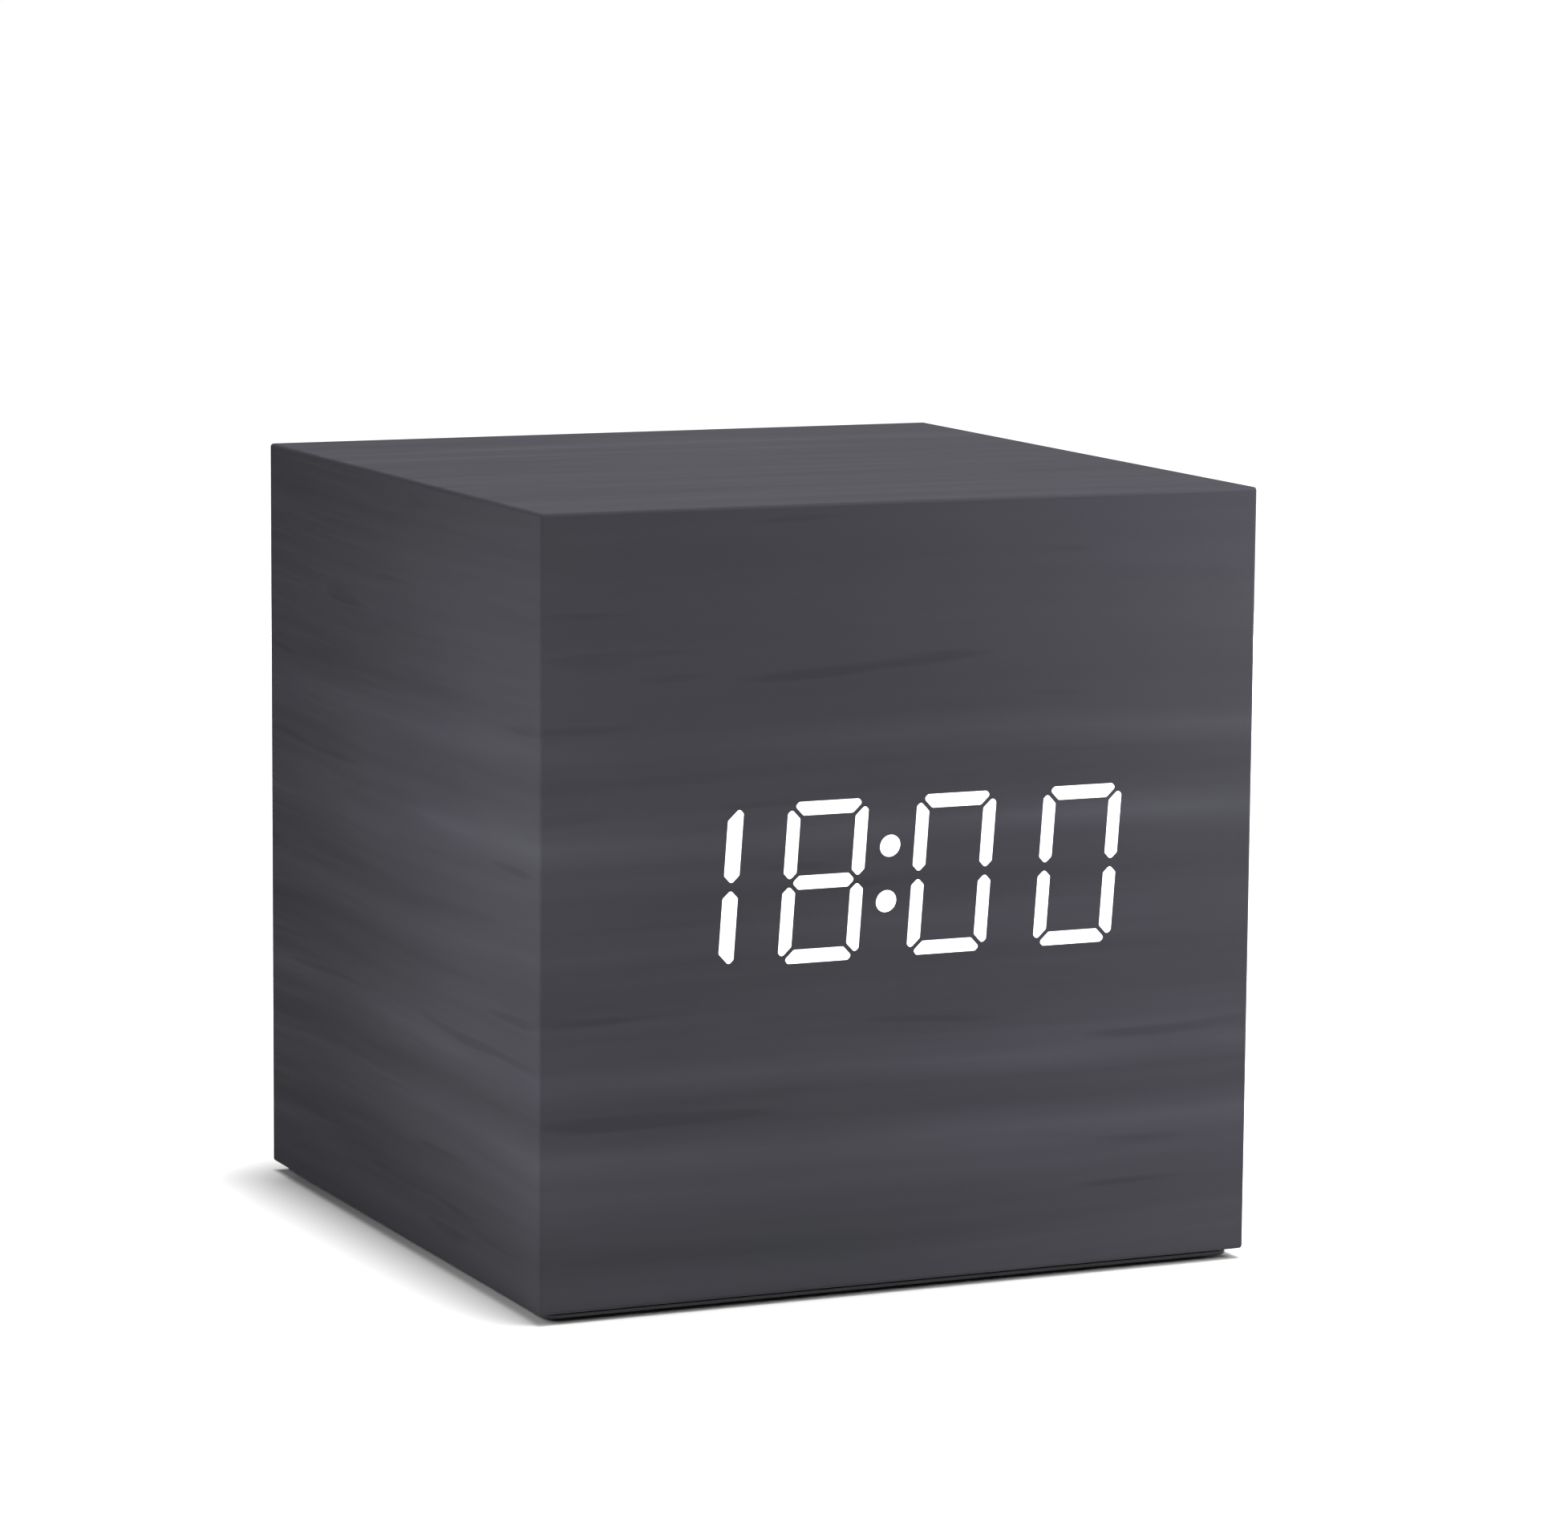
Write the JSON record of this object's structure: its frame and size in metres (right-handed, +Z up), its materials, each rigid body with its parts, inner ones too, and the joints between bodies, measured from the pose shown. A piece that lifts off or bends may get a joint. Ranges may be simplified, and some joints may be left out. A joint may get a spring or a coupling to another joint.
{
  "type": "digital alarm clock",
  "caption": "Dark wooden cube clock with lit figures on its plain front, press buttons, a slide switch and a socket behind, and a battery door underneath.",
  "frame": {"origin": "centre of the bounding box's footprint, on the surface that the feet stand on", "axes": "+X to the right seen from the front, +Y to the back, +Z up; the lit front face looks along -Y"},
  "size_m": [0.09, 0.091, 0.092],
  "materials": {
    "veneer": "charcoal stained veneer, matt, with faint wavy grain",
    "raw_wood": "sawn, unfinished",
    "black_plastic": "fine matt texture",
    "rubber": "matt",
    "lit_white": "lit from behind, pure white",
    "circuit": "green solder mask",
    "steel": "zinc plated",
    "nickel": "nickel plated",
    "cell_jacket": "plain dark sleeve",
    "red_wire": "smooth sleeve",
    "black_wire": "smooth sleeve",
    "grey_ribbon": "smooth"
  },
  "bodies": {
    "case": {"front_board": "veneer", "back_board": "veneer", "left_board": "veneer", "right_board": "veneer", "top_board": "veneer", "corner_block_front_left": "raw_wood", "corner_block_front_right": "raw_wood", "corner_block_back_left": "raw_wood", "corner_block_back_right": "raw_wood", "base_plate": "black_plastic", "base_screw_front_left": "steel", "base_screw_front_right": "steel", "base_screw_back_left": "steel", "base_screw_back_right": "steel", "foot_front_left": "rubber", "foot_front_right": "rubber", "foot_back_left": "rubber", "foot_back_right": "rubber", "battery_1": "cell_jacket", "battery_2": "cell_jacket", "battery_3": "cell_jacket", "contact_positive": "nickel", "contact_negative": "nickel", "contact_bridge_left": "nickel", "contact_bridge_right": "nickel", "display_reflector": "black_plastic", "light_guide_hours_tens": "lit_white", "light_guide_hours_units": "lit_white", "light_guide_colon": "lit_white", "light_guide_minutes_tens": "lit_white", "light_guide_minutes_units": "lit_white", "display_board": "circuit", "display_screw_left": "steel", "display_screw_right": "steel", "main_board": "circuit", "board_screw_lower_left": "steel", "board_screw_lower_right": "steel", "board_screw_upper_left": "steel", "board_screw_upper_right": "steel", "set_switch": "black_plastic", "up_switch": "black_plastic", "down_switch": "black_plastic", "sound_switch_body": "steel", "dc_jack": "black_plastic", "microphone": "steel", "clock_chip": "black_plastic", "quartz_crystal": "steel", "buzzer": "black_plastic", "display_ribbon_cable": "grey_ribbon", "battery_lead_red": "red_wire", "battery_lead_black": "black_wire"},
    "battery_door": {"battery_door": "black_plastic"},
    "set_button": {"set_button_cap": "black_plastic", "set_plunger": "black_plastic"},
    "up_button": {"up_button_cap": "black_plastic", "up_plunger": "black_plastic"},
    "down_button": {"down_button_cap": "black_plastic", "down_plunger": "black_plastic"},
    "sound_switch": {"sound_switch_knob": "black_plastic"}
  },
  "joints": [
    {"name": "battery_door_hinge", "type": "hinge", "parent": "case", "child": "battery_door", "pos_m": [-0.0278, 0, 0.0004], "axis": [0, 1, 0], "range_deg": [0, 85]},
    {"name": "set_button_slide", "type": "slide", "parent": "case", "child": "set_button", "axis": [0, -1, 0], "range_m": [0, 0.0005], "stiffness_N_per_m": 800},
    {"name": "up_button_slide", "type": "slide", "parent": "case", "child": "up_button", "axis": [0, -1, 0], "range_m": [0, 0.0005], "stiffness_N_per_m": 800},
    {"name": "down_button_slide", "type": "slide", "parent": "case", "child": "down_button", "axis": [0, -1, 0], "range_m": [0, 0.0005], "stiffness_N_per_m": 800},
    {"name": "sound_switch_slide", "type": "slide", "parent": "case", "child": "sound_switch", "axis": [1, 0, 0], "range_m": [0, 0.002]}
  ]
}
